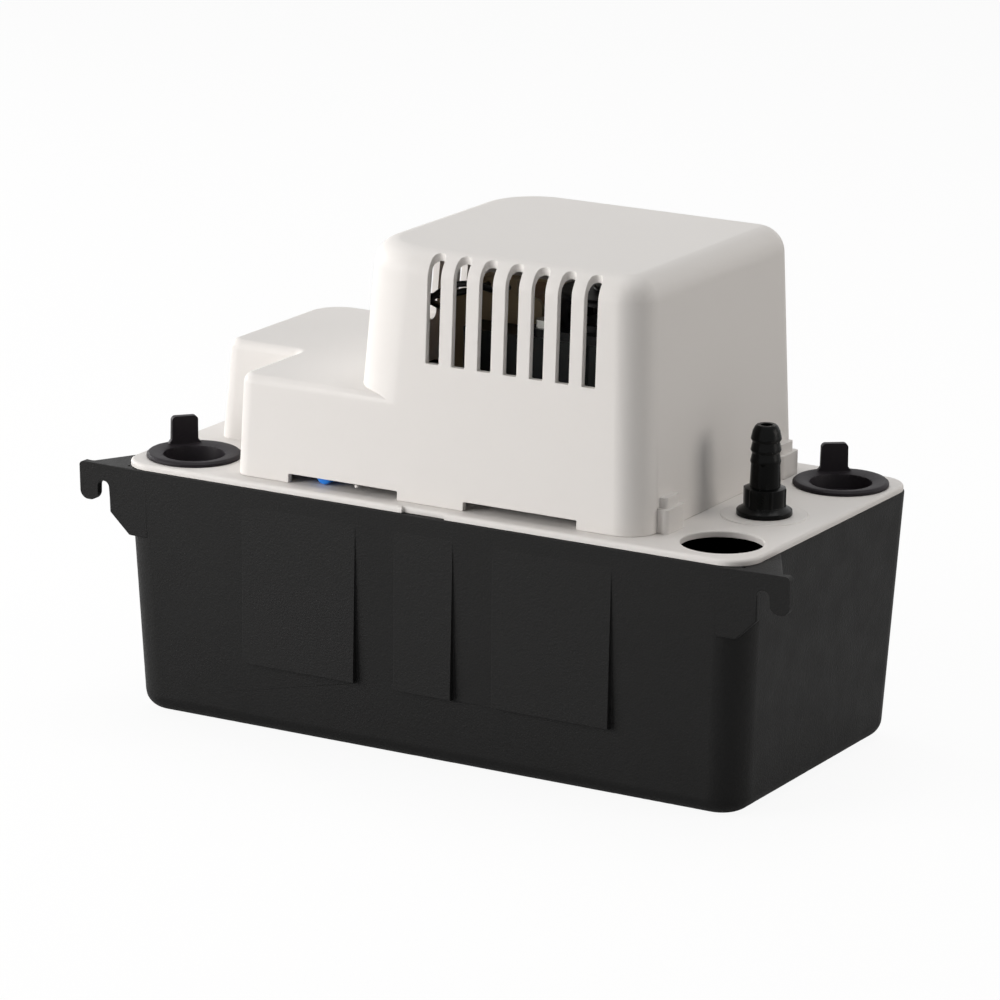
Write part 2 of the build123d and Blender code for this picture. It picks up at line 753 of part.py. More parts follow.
barb_profile = [(0, chamber_floor), (valve_shank_radius, chamber_floor), (valve_shank_radius, valve_seat_height)]
barb_profile += [(valve_flange_radius, valve_seat_height), (valve_flange_radius, valve_seat_height + valve_flange_thickness)]
barb_profile += [(valve_hex_radius - 0.4, hex_bottom), (valve_hex_radius - 0.4, hex_top)]
barb_profile += [(shank_radius + 0.1, hex_top + 0.4), (shank_radius - 0.2, barb_root)]
for ring in range(3):
    ring_height = barb_root + 1.1 + ring * barb_pitch
    barb_profile += [(barb_radius, ring_height), (barb_neck, ring_height + barb_pitch - 1.1)]
barb_profile += [(valve_tip_radius, valve_top - 0.6), (valve_tip_radius - 0.6, valve_top), (0, valve_top)]

with BuildPart() as valve:
    add(revolved(barb_profile, valve_axis))
    with BuildSketch(Plane.XY.offset(hex_bottom - 1.4)):
        with Locations((valve_x, valve_y)):
            RegularPolygon(valve_hex_radius, 6, rotation=15)
    extrude(amount=hex_top - hex_bottom + 1.4)
    with BuildSketch(Plane.XY.offset(chamber_floor)):
        with Locations((valve_x, valve_y)):
            Circle(valve_chamber_radius)
    extrude(amount=chamber_roof - chamber_floor, mode=Mode.SUBTRACT)
    with BuildSketch(Plane.XY.offset(chamber_roof - 1)):
        with Locations((valve_x, valve_y)):
            Circle(valve_bore)
    extrude(amount=valve_top, mode=Mode.SUBTRACT)
save(valve.part, "check_valve_body")

seat_depth = 3.0
inlet_profile = [(spigot_bore, valve_spigot_bottom), (spigot_radius, valve_spigot_bottom)]
inlet_profile += [(spigot_radius, spigot_top), (valve_shank_radius + 2.0, spigot_top)]
inlet_profile += [(valve_shank_radius + 2.0, seat_top), (valve_chamber_radius, seat_top)]
inlet_profile += [(valve_chamber_radius - 0.1, seat_top + seat_depth), (spigot_bore, seat_top + seat_depth)]
save(revolved(inlet_profile, valve_axis), "check_valve_inlet")

ring_section = 0.7
poppet_seat = seat_top + seat_depth + 2 * ring_section + 0.05
with BuildPart() as seat_ring:
    with BuildSketch(Plane.XZ):
        with Locations((spigot_bore + ring_section, seat_top + seat_depth + ring_section)):
            Circle(ring_section)
    revolve(axis=Axis.Z)
save(seat_ring.part.moved(valve_axis), "valve_seat_ring")

poppet_radius = valve_chamber_radius - 0.5
poppet_profile = [(0, poppet_seat), (poppet_radius, poppet_seat), (poppet_radius, poppet_seat + 1.4)]
poppet_profile += [(1.6, poppet_seat + 2.6), (1.2, poppet_seat + 6.0), (0, poppet_seat + 6.4)]
save(revolved(poppet_profile, valve_axis), "valve_poppet")

wire_radius = 0.35
spring_radius = poppet_radius - 2 * wire_radius
spring_bottom = poppet_seat + 1.4 + 0.9 + wire_radius
spring_length = chamber_roof - 0.05 - wire_radius - spring_bottom
with BuildPart() as spring:
    with BuildLine() as spring_line:
        Helix(pitch=spring_length / 5, height=spring_length, radius=spring_radius)
    with BuildSketch(Plane(origin=spring_line.line @ 0, z_dir=spring_line.line % 0)):
        Circle(wire_radius)
    sweep(is_frenet=True)
save(spring.part.moved(Location((valve_x, valve_y, spring_bottom))), "valve_spring")

# Motor stack: C shaped laminations, coil core, coil and rotor
bolt_places = [
    (motor_x + side_x * motor_bolt_x, motor_y + side_y * motor_bolt_y) for side_x in (-1, 1) for side_y in (-1, 1)
]
core_x = motor_x - stack_half_x - coil_gap - core_width / 2
window_half = stack_half_y - limb_width
bore_radius = rotor_radius + air_gap
shading_turns = (20.0, 60.0, 200.0, 240.0)
shading_depth = 3.0
shading_width = 2.2
shading_bar = 1.6

with BuildPart() as stator:
    with BuildSketch(Plane.XY.offset(stack_bottom)) as stator_plan:
        with Locations((motor_x, motor_y)):
            Rectangle(2 * stack_half_x, 2 * stack_half_y)
        limb_left = core_x - core_width / 2
        for side in (-1, 1):
            with Locations(((limb_left + motor_x) / 2, motor_y + side * (stack_half_y - limb_width / 2))):
                Rectangle(motor_x - limb_left, limb_width)
        fillet(stator_plan.vertices().group_by(Axis.X)[-1], 4.0)
        fillet(stator_plan.vertices().group_by(Axis.X)[0], 2.0)
        with Locations((motor_x, motor_y)):
            Circle(bore_radius, mode=Mode.SUBTRACT)
            for turn in shading_turns:
                with PolarLocations(bore_radius + shading_depth / 2, 1, turn):
                    Rectangle(shading_depth + 1.0, shading_width, mode=Mode.SUBTRACT)
        with Locations((motor_x, motor_y - stack_half_y), (motor_x, motor_y + stack_half_y)):
            Circle(3.0, mode=Mode.SUBTRACT)
        with Locations(*bolt_places):
            Circle(motor_bolt_radius + bolt_clearance, mode=Mode.SUBTRACT)
    extrude(amount=stack_height)
save(stator.part, "stator_laminations")

with BuildPart() as core:
    with BuildSketch(Plane.XY.offset(stack_bottom)):
        with Locations((core_x, motor_y)):
            Rectangle(core_width, 2 * window_half)
    extrude(amount=stack_height)
save(core.part, "coil_core")

coil_clearance = 0.2
bobbin_half = window_half - coil_clearance
coil_plane = Plane(origin=(core_x, motor_y, stack_bottom + stack_height / 2), x_dir=(1, 0, 0), z_dir=(0, -1, 0))
bobbin_inner_x = core_width + 2 * coil_clearance
bobbin_inner_z = stack_height + 2 * coil_clearance
flange_x = core_width + 2 * coil_depth + 2 * bobbin_wall
flange_z = stack_height + 2 * coil_depth + 2 * bobbin_wall
terminal_height = 6.0

with BuildPart() as bobbin:
    with BuildSketch(coil_plane.offset(-bobbin_half)):
        RectangleRounded(bobbin_inner_x + 2 * bobbin_wall, bobbin_inner_z + 2 * bobbin_wall, bobbin_wall)
    extrude(amount=2 * bobbin_half)
    for offset_y in (-bobbin_half, bobbin_half - bobbin_wall):
        with BuildSketch(coil_plane.offset(offset_y)):
            RectangleRounded(flange_x, flange_z, 3.0)
        extrude(amount=bobbin_wall)
    with BuildSketch(coil_plane.offset(bobbin_half - bobbin_wall - 5.0)):
        with Locations((0, flange_z / 2 + terminal_height / 2 - 0.5)):
            Rectangle(14.0, terminal_height)
    extrude(amount=5.0 + bobbin_wall)
    with BuildSketch(coil_plane.offset(-bobbin_half - 1)):
        Rectangle(bobbin_inner_x, bobbin_inner_z)
    extrude(amount=2 * bobbin_half + 2, mode=Mode.SUBTRACT)
save(bobbin.part, "coil_bobbin")

coil_half = bobbin_half - bobbin_wall - coil_clearance / 2
winding_inner_x = bobbin_inner_x + 2 * bobbin_wall + coil_clearance
winding_inner_z = bobbin_inner_z + 2 * bobbin_wall + coil_clearance
with BuildPart() as winding:
    with BuildSketch(coil_plane.offset(-coil_half)):
        RectangleRounded(flange_x - 1.6, flange_z - 1.6, 5.5)
        RectangleRounded(winding_inner_x, winding_inner_z, bobbin_wall, mode=Mode.SUBTRACT)
    extrude(amount=2 * coil_half)
save(winding.part, "coil_winding")

end_ring = 2.5
with BuildPart() as rotor:
    add(disc(stack_bottom, stack_height, rotor_radius))
    add(disc(stack_bottom - end_ring, stack_height + 2 * end_ring, rotor_radius - 1.5))
    add(disc(stack_bottom - 2 * end_ring, 2 * stack_height, shaft_radius), mode=Mode.SUBTRACT)
save(rotor.part, "rotor_core")

with BuildPart() as shading:
    for first in (0, 2):
        for turn in shading_turns[first : first + 2]:
            with BuildSketch(Plane.XY.offset(stack_bottom - shading_bar)):
                with PolarLocations(bore_radius + shading_depth / 2 + 0.3, 1, turn):
                    Rectangle(shading_depth - 1.2, shading_bar)
            extrude(amount=stack_height + 2 * shading_bar)
        for height in (stack_bottom - shading_bar, stack_top):
            with BuildSketch(Plane.XY.offset(height)):
                with BuildLine():
                    inner = bore_radius + 0.9
                    outer = inner + shading_bar
                    span = shading_turns[first + 1] - shading_turns[first]
                    inside = CenterArc((0, 0), inner, shading_turns[first], span)
                    outside = CenterArc((0, 0), outer, shading_turns[first], span)
                    Line(inside @ 0, outside @ 0)
                    Line(inside @ 1, outside @ 1)
                make_face()
            extrude(amount=shading_bar)
save(shading.part.moved(motor_axis), "shading_rings")


def end_bracket():
    """Bearing bracket over its stack face: plate, vented cup and bearing hub, standing on zero."""
    hub_radius = bearing_radius + 2.6
    cup_top = bracket_plate + bracket_cup_height
    with BuildPart() as bracket:
        with BuildSketch():
            RectangleRounded(2 * (motor_bolt_x + 4.8), 2 * (motor_bolt_y + 4.8), 4.8)
            Circle(bracket_cup_radius - bracket_wall, mode=Mode.SUBTRACT)
        extrude(amount=bracket_plate)
        with BuildSketch():
            Circle(bracket_cup_radius)
            Circle(bracket_cup_radius - bracket_wall, mode=Mode.SUBTRACT)
        extrude(amount=cup_top)
        with BuildSketch(Plane.XY.offset(cup_top - bracket_wall)):
            Circle(bracket_cup_radius)
        extrude(amount=bracket_wall)
        fillet(bracket.faces().sort_by(Axis.Z)[-1].edges(), bracket_wall - 0.4)
        for turn in range(4):
            with BuildSketch(Plane.XZ.rotated((0, 0, 90 * turn))):
                with Locations((0, bracket_plate + bracket_cup_height / 2)):
                    SlotOverall(20.0, bracket_cup_height - 2 * bracket_wall)
            extrude(amount=2 * bracket_cup_radius, mode=Mode.SUBTRACT)
        with BuildSketch(Plane.XY.offset(hub_bottom)):
            Circle(hub_radius)
        extrude(amount=bearing_length + 0.5)
        fillet(bracket.faces().sort_by(Axis.Z)[-1].edges(), 1.0)
        with BuildSketch(Plane.XY.offset(hub_bottom - 1)):
            Circle(bearing_radius)
        extrude(amount=bearing_length + 1, mode=Mode.SUBTRACT)
        with BuildSketch(Plane.XY.offset(hub_bottom)):
            Circle(shaft_radius + 0.4)
        extrude(amount=2 * bearing_length, mode=Mode.SUBTRACT)
        with BuildSketch(Plane.XY.offset(-1)):
            with GridLocations(2 * motor_bolt_x, 2 * motor_bolt_y, 2, 2):
                Circle(motor_bolt_radius + bolt_clearance)
        extrude(amount=bracket_plate + 2, mode=Mode.SUBTRACT)
    return bracket.part


bracket_part = end_bracket()
upper_bracket = bracket_part.moved(Location((motor_x, motor_y, stack_top)))
lower_bracket = bracket_part.rotate(Axis.X, 180).moved(Location((motor_x, motor_y, stack_bottom)))
save(upper_bracket, "upper_bracket")
save(lower_bracket, "lower_bracket")

upper_bearing_height = stack_top + hub_bottom
lower_bearing_height = stack_bottom - hub_bottom - bearing_length
bearing_bore = shaft_radius + running_clearance
save(disc(upper_bearing_height, bearing_length, bearing_radius, bearing_bore), "upper_bearing")
save(disc(lower_bearing_height, bearing_length, bearing_radius, bearing_bore), "lower_bearing")

shaft_top = upper_bearing_height + bearing_length + 3.0
shaft_bottom = impeller_floor + 1.5
with BuildPart() as shaft:
    add(disc(shaft_bottom, shaft_top - shaft_bottom, shaft_radius))
    chamfer(shaft.edges().filter_by(GeomType.CIRCLE), 0.4)
save(shaft.part, "motor_shaft")

# Motor mount: base plate, windowed tower and posts under the lower bracket
post_top = stack_bottom - bracket_plate
mount_opening = fan_radius + 2.5
tower_wall = 2.4
tower_top = stack_bottom + stack_height / 2 - flange_z / 2 - 1.8
bolt_length = bracket_plate + stack_height + bracket_plate + 10.0

with BuildPart() as mount:
    with BuildSketch(Plane.XY.offset(deck_top)):
        with Locations((motor_x, motor_y)):
            RectangleRounded(2 * mount_half, 2 * mount_half, 6.0)
    extrude(amount=mount_plate)
    add(disc(deck_top, tower_top - deck_top, mount_opening + tower_wall))
    with BuildSketch(Plane.XY.offset(deck_top)):
        with Locations(*bolt_places):
            Circle(4.2)
    extrude(amount=post_top - deck_top)
    add(disc(deck_top - 1, post_top, mount_opening), mode=Mode.SUBTRACT)
    for turn in range(4):
        with BuildSketch(Plane.XZ.rotated((0, 0, 90 * turn)).move(motor_axis)):
            with Locations((0, (deck_top + mount_plate + tower_top) / 2)):
                RectangleRounded(24.0, tower_top - deck_top - mount_plate - 6.0, 3.0)
        extrude(amount=2 * mount_half, mode=Mode.SUBTRACT)
    with BuildSketch(Plane.XY.offset(post_top + 1)):
        with Locations(*bolt_places):
            Circle(motor_bolt_radius + bolt_clearance)
    extrude(amount=-12.0, mode=Mode.SUBTRACT)
    with BuildSketch(Plane.XY.offset(deck_top - 1)):
        with Locations(*mount_screw_places):
            Circle(screw_radius + bolt_clearance)
    extrude(amount=mount_plate + 2, mode=Mode.SUBTRACT)
save(mount.part, "motor_mount")

with BuildPart() as motor_bolts:
    with BuildSketch(Plane.XY.offset(stack_top + bracket_plate)):
        with Locations(*bolt_places):
            Circle(motor_bolt_radius)
    extrude(amount=-bolt_length)
    with BuildSketch(Plane.XY.offset(stack_top + bracket_plate)):
        with Locations(*bolt_places):
            RegularPolygon(3.6, 6)
    extrude(amount=2.6)
save(motor_bolts.part, "motor_bolts")

mount_screw_length = mount_plate + deck_thickness + 3.0
volute_screw_length = volute_cover_thickness + 5.0
save(screw_group(mount_screw_places, deck_top + mount_plate, mount_screw_length), "mount_screws")
save(screw_group(column_screw_places, flange_bottom, column_flange + 1.8, True), "column_screws")
save(screw_group(volute_ears, volute_bottom - volute_cover_thickness, volute_screw_length, True), "volute_screws")

# Cooling fan and slinger on the shaft between deck and lower bracket
fan_disc = 1.4
fan_hub = 6.5
with BuildPart() as fan:
    with BuildSketch(Plane.XY.offset(fan_floor)):
        Circle(fan_radius)
    extrude(amount=fan_disc)
    with BuildSketch(Plane.XY.offset(fan_floor)) as blades:
        with BuildLine():
            lower_arc = ThreePointArc((fan_hub - 1.0, 0.0), (14.0, 3.0), (fan_radius - 0.2, 1.5))
            upper_arc = ThreePointArc((fan_hub - 1.0, 1.4), (14.0, 4.4), (fan_radius - 0.4, 2.9))
            Line(lower_arc @ 0, upper_arc @ 0)
            Line(lower_arc @ 1, upper_arc @ 1)
        make_face()
    blade = extrude(blades.sketch, amount=fan_height, mode=Mode.PRIVATE)
    for turn in range(fan_blades):
        add(blade.rotate(Axis.Z, turn * 360 / fan_blades))
    with BuildSketch(Plane.XY.offset(fan_floor)):
        Circle(fan_hub)
    extrude(amount=fan_height)
    with Locations((0, 0, fan_floor)):
        Cylinder(shaft_radius, 4 * fan_height, mode=Mode.SUBTRACT)
save(fan.part.moved(motor_axis), "cooling_fan")
save(disc(fan_floor - 2.0, 1.6, 2.2 * shaft_radius, shaft_radius), "shaft_slinger")

# Float: rounded block on its rod, with retaining clips
pivot_z = deck_top + pivot_height
half_swing = float_travel / lever_arm / 2
eye_drop = lever_arm * tan(half_swing)
clip_radius = 4.0
clip_thickness = 1.5
clip_gap = lever_thickness + 2 * clip_radius * sin(half_swing) + 0.5
eye_z = pivot_z - eye_drop
rod_top = eye_z + clip_gap / 2 + clip_thickness + 3.0
rod_bottom = float_rest - clip_thickness - 2.0

with BuildPart() as float_block:
    with BuildSketch(Plane.XY.offset(float_rest)):
        with Locations((float_x, float_y)):
            RectangleRounded(float_length, float_width, 9.0)
    extrude(amount=float_height)
    fillet(float_block.faces().filter_by(Plane.XY).edges(), 3.0)
    with BuildSketch(Plane.XY.offset(float_rest - 1)):
        with Locations((float_x, float_y)):
            Circle(rod_radius + running_clearance)
    extrude(amount=float_height + 2, mode=Mode.SUBTRACT)
save(float_block.part, "float")

with BuildPart() as rod:
    with BuildSketch(Plane.XY.offset(rod_bottom)):
        with Locations((float_x, float_y)):
            Circle(rod_radius)
    extrude(amount=rod_top - rod_bottom)
    chamfer(rod.edges().filter_by(GeomType.CIRCLE), 0.4)
save(rod.part, "float_rod")

clip_heights = (
    float_rest - clip_thickness,
    float_rest + float_height,
    eye_z - clip_gap / 2 - clip_thickness,
    eye_z + clip_gap / 2,
)
with BuildPart() as clips:
    for height in clip_heights:
        with BuildSketch(Plane.XY.offset(height)):
            with Locations((float_x, float_y)):
                Circle(clip_radius)
                Circle(rod_radius, mode=Mode.SUBTRACT)
            with Locations((float_x + clip_radius, float_y)):
                Rectangle(2 * clip_radius - rod_radius, 1.6, mode=Mode.SUBTRACT)
        extrude(amount=clip_thickness)
save(clips.part, "rod_clips")

# Switch lever, drawn level about its pivot and tipped down to its rest angle
slot_half = rod_radius + lever_arm * (1 - cos(half_swing)) + 0.6
with BuildPart() as lever:
    with BuildSketch(Plane.XY.offset(-lever_thickness / 2)):
        with Locations((-lever_arm / 2, 0)):
            Rectangle(lever_arm, lever_width)
        with Locations((-lever_arm, 0)):
            Circle(lever_eye_radius)
    extrude(amount=lever_thickness)
    with BuildSketch(Plane.XZ.offset(-lever_width / 2)):
        Circle(lever_hub_radius)
    extrude(amount=lever_width)
    with BuildSketch(Plane.XY.offset(-lever_thickness)):
        with Locations((-lever_arm * 0.56, 0)):
            Rectangle(lever_arm * 0.55, 1.4)
    extrude(amount=lever_thickness)
    with BuildSketch(Plane.XY.offset(-lever_thickness)):
        with Locations((-lever_arm, 0)):
            SlotOverall(2 * slot_half, 2 * rod_radius + 0.7)
    extrude(amount=2 * lever_thickness, mode=Mode.SUBTRACT)
    with BuildSketch(Plane.XZ.offset(-lever_width)):
        Circle(pin_radius + running_clearance)
    extrude(amount=2 * lever_width, mode=Mode.SUBTRACT)
lever_part = lever.part.rotate(Axis.Y, -degrees(half_swing)).moved(Location((pivot_x, float_y, pivot_z)))
save(lever_part, "float_lever")

# Switch bracket on the deck with the lever's pin and the microswitch on its upright
bracket_thickness = 2.5
bracket_foot_width = 14.0
switch_centre_x = pivot_x + 2.0
switch_bottom = pivot_z + 3.4
bracket_left = pivot_x - 17.0
bracket_right = pivot_x + 13.0
bracket_top = switch_bottom + switch_height + 1.5
switch_screw_x = 7.0
switch_screw_z = switch_bottom + switch_height / 2 + 1.5

with BuildPart() as switch_bracket:
    with BuildSketch(Plane.XZ.offset(-bracket_y)) as upright:
        with Locations(((bracket_left + bracket_right) / 2, (deck_top + bracket_top) / 2)):
            Rectangle(bracket_right - bracket_left, bracket_top - deck_top)
        fillet(upright.vertices().group_by(Axis.Y)[-1], 3.0)
        with Locations((pivot_x, pivot_z)):
            Circle(pin_radius, mode=Mode.SUBTRACT)
        with Locations(*[(switch_centre_x + side * switch_screw_x, switch_screw_z) for side in (-1, 1)]):
            Circle(1.1, mode=Mode.SUBTRACT)
    extrude(amount=-bracket_thickness)
    with BuildSketch(Plane.XY.offset(deck_top)) as foot:
        with Locations(((bracket_left + bracket_right) / 2, bracket_y + bracket_foot_width / 2)):
            Rectangle(bracket_right - bracket_left, bracket_foot_width)
        fillet(foot.vertices().group_by(Axis.Y)[-1], 3.0)
        with Locations(*bracket_screw_places):
            Circle(screw_radius + bolt_clearance, mode=Mode.SUBTRACT)
    extrude(amount=bracket_thickness)
    with BuildSketch(Plane.YZ.offset(pivot_x - 3.2)) as gusset:
        with BuildLine():
            Polyline(
                (bracket_y + bracket_thickness, deck_top + bracket_thickness),
                (bracket_y + bracket_foot_width - 2.0, deck_top + bracket_thickness),
                (bracket_y + bracket_thickness, bracket_top - 6.0),
                close=True,
            )
        make_face()
    extrude(amount=2.0)
save(switch_bracket.part, "switch_bracket")
save(screw_group(bracket_screw_places, deck_top + bracket_thickness, bracket_thickness + 4.0), "bracket_screws")

with BuildPart() as pin:
    with BuildSketch(Plane.XZ.offset(-bracket_y - bracket_thickness)):
        with Locations((pivot_x, pivot_z)):
            Circle(pin_radius)
    extrude(amount=bracket_thickness + 0.75 + lever_width + 0.5)
    with BuildSketch(Plane.XZ.offset(-float_y + lever_width / 2 + 0.25)):
        with Locations((pivot_x, pivot_z)):
            Circle(pin_radius + 1.2)
    extrude(amount=1.4)
save(pin.part, "lever_pin")

button_x = pivot_x - button_arm
button_bottom = pivot_z - (button_arm - button_radius) * tan(half_swing) + lever_thickness / 2 / cos(half_swing) + 0.15
button_top = switch_bottom + 2.6
with BuildPart() as switch:
    with BuildSketch(Plane.XZ.offset(-bracket_y)) as switch_face:
        with Locations((switch_centre_x, switch_bottom + switch_height / 2)):
            RectangleRounded(switch_length, switch_height, 1.0)
        with Locations(*[(switch_centre_x + side * switch_screw_x, switch_screw_z) for side in (-1, 1)]):
            Circle(1.2, mode=Mode.SUBTRACT)
    extrude(amount=switch_width)
    with BuildSketch(Plane.XY.offset(switch_bottom - 1)):
        with Locations((button_x, bracket_y - switch_width / 2)):
            Circle(button_radius + 0.1)
    extrude(amount=button_top - switch_bottom + 1 + float_travel * button_arm / lever_arm + 0.3, mode=Mode.SUBTRACT)
save(switch.part, "float_switch")

with BuildPart() as button:
    with BuildSketch(Plane.XY.offset(button_bottom)):
        with Locations((button_x, bracket_y - switch_width / 2)):
            Circle(button_radius)
    extrude(amount=button_top - button_bottom)
    fillet(button.faces().sort_by(Axis.Z)[0].edges(), 0.8 * button_radius)
save(button.part, "switch_button")

with BuildPart() as switch_screws:
    for side in (-1, 1):
        with BuildSketch(Plane.XZ.offset(-bracket_y + switch_width)):
            with Locations((switch_centre_x + side * switch_screw_x, switch_screw_z)):
                Circle(1.0)
        extrude(amount=-switch_width - bracket_thickness)
        with BuildSketch(Plane.XZ.offset(-bracket_y + switch_width)):
            with Locations((switch_centre_x + side * switch_screw_x, switch_screw_z)):
                Circle(1.9)
        extrude(amount=1.2)
save(switch_screws.part, "switch_screws")

terminal_xs = [switch_centre_x + step for step in (-7.6, 0.0, 8.2)]
terminal_rise = 4.2
with BuildPart() as terminals:
    with BuildSketch(Plane.XY.offset(switch_bottom + switch_height)):
        with Locations(*[(place, bracket_y - switch_width / 2) for place in terminal_xs]):
            Rectangle(3.6, 0.6)
    extrude(amount=terminal_rise)
save(terminals.part, "switch_terminals")

# Wire connector just inside the front cable gap, and the two leads
connector_x = -45.5
connector_front = cover_front - 4.4
connector_length = 16.0
connector_radius = 3.2
connector_z = deck_top + connector_radius + 0.05
lead_radius = 1.1
lead_gap = 0.2

with BuildPart() as connector:
    with BuildSketch(Plane.XZ.offset(connector_front)):
        with Locations((connector_x, connector_z)):
            Circle(connector_radius * 0.72)
    with BuildSketch(Plane.XZ.offset(connector_front - connector_length)):
        with Locations((connector_x, connector_z)):
            Circle(connector_radius)
    loft()
    fillet(connector.faces().sort_by(Axis.Y)[0].edges(), 1.4)
    with BuildSketch(Plane.XZ.offset(connector_front - connector_length - 1)):
        with Locations((connector_x, connector_z)):
            Circle(lead_radius + lead_gap)
    extrude(amount=9.0, mode=Mode.SUBTRACT)
save(connector.part, "wire_connector")


def lead(points, name):
    """Insulated lead along its route, each bend as large as its two runs allow."""
    route = [Vector(*point) for point in points]
    radii = []
    for before, here, after in zip(route, route[1:], route[2:]):
        turn = (here - before).get_angle(after - here)
        shorter = min((here - before).length, (after - here).length)
        radii.append(0.45 * shorter / tan(radians(turn / 2)))
    print(name, "bend radii", [round(radius, 1) for radius in radii])
    with BuildLine() as path:
        FilletPolyline(*points, radius=radii)
    with BuildPart() as wire:
        with BuildSketch(Plane(origin=points[0], z_dir=route[1] - route[0])):
            Circle(lead_radius)
        sweep(path=path.line)
    save(wire.part, name)


terminal_block_front = motor_y - bobbin_half - 0.1
terminal_block_z = stack_bottom + stack_height / 2 + flange_z / 2 + 2.6
terminal_front_z = switch_bottom + switch_height + terminal_rise + 0.3
connector_entry = -connector_front + connector_length - 5.0
lead(
    [
        (core_x + 4.0, terminal_block_front, terminal_block_z),
        (core_x + 4.0, terminal_block_front - 8.0, terminal_block_z),
        (core_x + 3.5, terminal_block_front - 16.0, terminal_block_z + 3.0),
        (core_x + 1.0, terminal_block_front - 22.5, terminal_block_z + 5.5),
        (core_x - 5.0, terminal_block_front - 26.0, terminal_block_z + 4.3),
        (core_x - 11.5, terminal_block_front - 27.0, terminal_block_z - 0.8),
        (core_x - 16.5, terminal_block_front - 27.5, terminal_block_z - 9.0),
        (core_x - 20.0, terminal_block_front - 27.5, terminal_block_z - 20.0),
        (core_x - 22.5, terminal_block_front - 25.5, terminal_block_z - 31.0),
        (core_x - 25.0, terminal_block_front - 21.6, terminal_block_z - 41.0),
        (connector_x + 17.9, connector_entry + 13.9, connector_z + 15.1),
        (connector_x + 15.9, connector_entry + 23.9, connector_z + 7.7),
        (connector_x + 13.5, connector_entry + 34.9, connector_z + 3.4),
        (connector_x + 9.1, connector_entry + 41.2, connector_z + 1.7),
        (connector_x + 2.3, connector_entry + 42.2, connector_z + 0.7),
        (connector_x - 3.1, connector_entry + 37.8, connector_z + 0.2),
        (connector_x - 3.9, connector_entry + 29.9, connector_z),
        (connector_x - 1.5, connector_entry + 20.9, connector_z),
        (connector_x, connector_entry + 11.9, connector_z),
        (connector_x, connector_entry, connector_z),
    ],
    "motor_lead",
)
lead(
    [
        (core_x - 4.0, terminal_block_front, terminal_block_z),
        (core_x - 4.0, terminal_block_front - 8.1, terminal_block_z),
        (core_x - 7.2, terminal_block_front - 15.0, terminal_block_z - 0.4),
        (core_x - 13.2, terminal_block_front - 18.5, terminal_block_z - 1.4),
        (core_x - 19.2, terminal_block_front - 16.5, terminal_block_z - 3.2),
        (core_x - 22.0, terminal_block_front - 10.1, terminal_block_z - 5.9),
        (core_x - 22.0, terminal_block_front - 0.7, terminal_block_z - 10.2),
        (core_x - 21.4, terminal_block_front + 10.3, terminal_block_z - 16.0),
        (core_x - 21.6, terminal_block_front + 20.9, terminal_block_z - 23.2),
        (terminal_xs[2] + 0.6, bracket_y - switch_width / 2 - 1.5, terminal_front_z + 6.9),
        (terminal_xs[2], bracket_y - switch_width / 2, terminal_front_z),
    ],
    "switch_lead",
)
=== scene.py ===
import json
import math

import bpy
import bmesh
from mathutils import Matrix, Vector


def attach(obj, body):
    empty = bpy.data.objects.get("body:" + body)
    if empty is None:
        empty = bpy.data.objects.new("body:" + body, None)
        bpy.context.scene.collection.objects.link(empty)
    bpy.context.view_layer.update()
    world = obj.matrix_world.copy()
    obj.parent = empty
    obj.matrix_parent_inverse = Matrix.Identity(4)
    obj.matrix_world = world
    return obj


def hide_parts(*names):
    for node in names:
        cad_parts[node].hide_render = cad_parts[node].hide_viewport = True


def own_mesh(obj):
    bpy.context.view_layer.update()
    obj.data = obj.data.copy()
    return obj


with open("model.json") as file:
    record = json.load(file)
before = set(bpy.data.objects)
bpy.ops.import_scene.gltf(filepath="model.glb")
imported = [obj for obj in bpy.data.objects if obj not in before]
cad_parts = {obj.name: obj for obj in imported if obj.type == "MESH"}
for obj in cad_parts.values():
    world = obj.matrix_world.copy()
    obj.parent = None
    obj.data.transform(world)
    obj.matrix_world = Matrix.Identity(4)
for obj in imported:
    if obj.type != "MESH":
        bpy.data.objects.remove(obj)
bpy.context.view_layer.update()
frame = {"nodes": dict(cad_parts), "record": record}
nodes = frame["nodes"]
mm = 0.001


# Shader helpers

def new_material(name):
    material = bpy.data.materials.new(name)
    material.use_nodes = True
    tree = material.node_tree
    shader = tree.nodes["Principled BSDF"]
    return material, tree, shader


def object_point(tree, scale=(1, 1, 1)):
    coords = tree.nodes.new("ShaderNodeTexCoord")
    mapping = tree.nodes.new("ShaderNodeMapping")
    mapping.inputs["Scale"].default_value = scale
    tree.links.new(coords.outputs["Object"], mapping.inputs["Vector"])
    return mapping.outputs["Vector"]


def noise(tree, point, scale, detail=4.0, roughness=0.55):
    node = tree.nodes.new("ShaderNodeTexNoise")
    node.inputs["Scale"].default_value = scale
    node.inputs["Detail"].default_value = detail
    node.inputs["Roughness"].default_value = roughness
    tree.links.new(point, node.inputs["Vector"])
    return node.outputs["Fac"]


def bands(tree, point, scale, direction="Z", distortion=0.0, profile="SIN"):
    node = tree.nodes.new("ShaderNodeTexWave")
    node.bands_direction = direction
    node.wave_profile = profile
    node.inputs["Scale"].default_value = scale
    node.inputs["Distortion"].default_value = distortion
    tree.links.new(point, node.inputs["Vector"])
    return node.outputs["Fac"]


def remap(tree, value, low, high, start=0.0, end=1.0):
    node = tree.nodes.new("ShaderNodeMapRange")
    node.inputs["From Min"].default_value = start
    node.inputs["From Max"].default_value = end
    node.inputs["To Min"].default_value = low
    node.inputs["To Max"].default_value = high
    tree.links.new(value, node.inputs["Value"])
    return node.outputs["Result"]


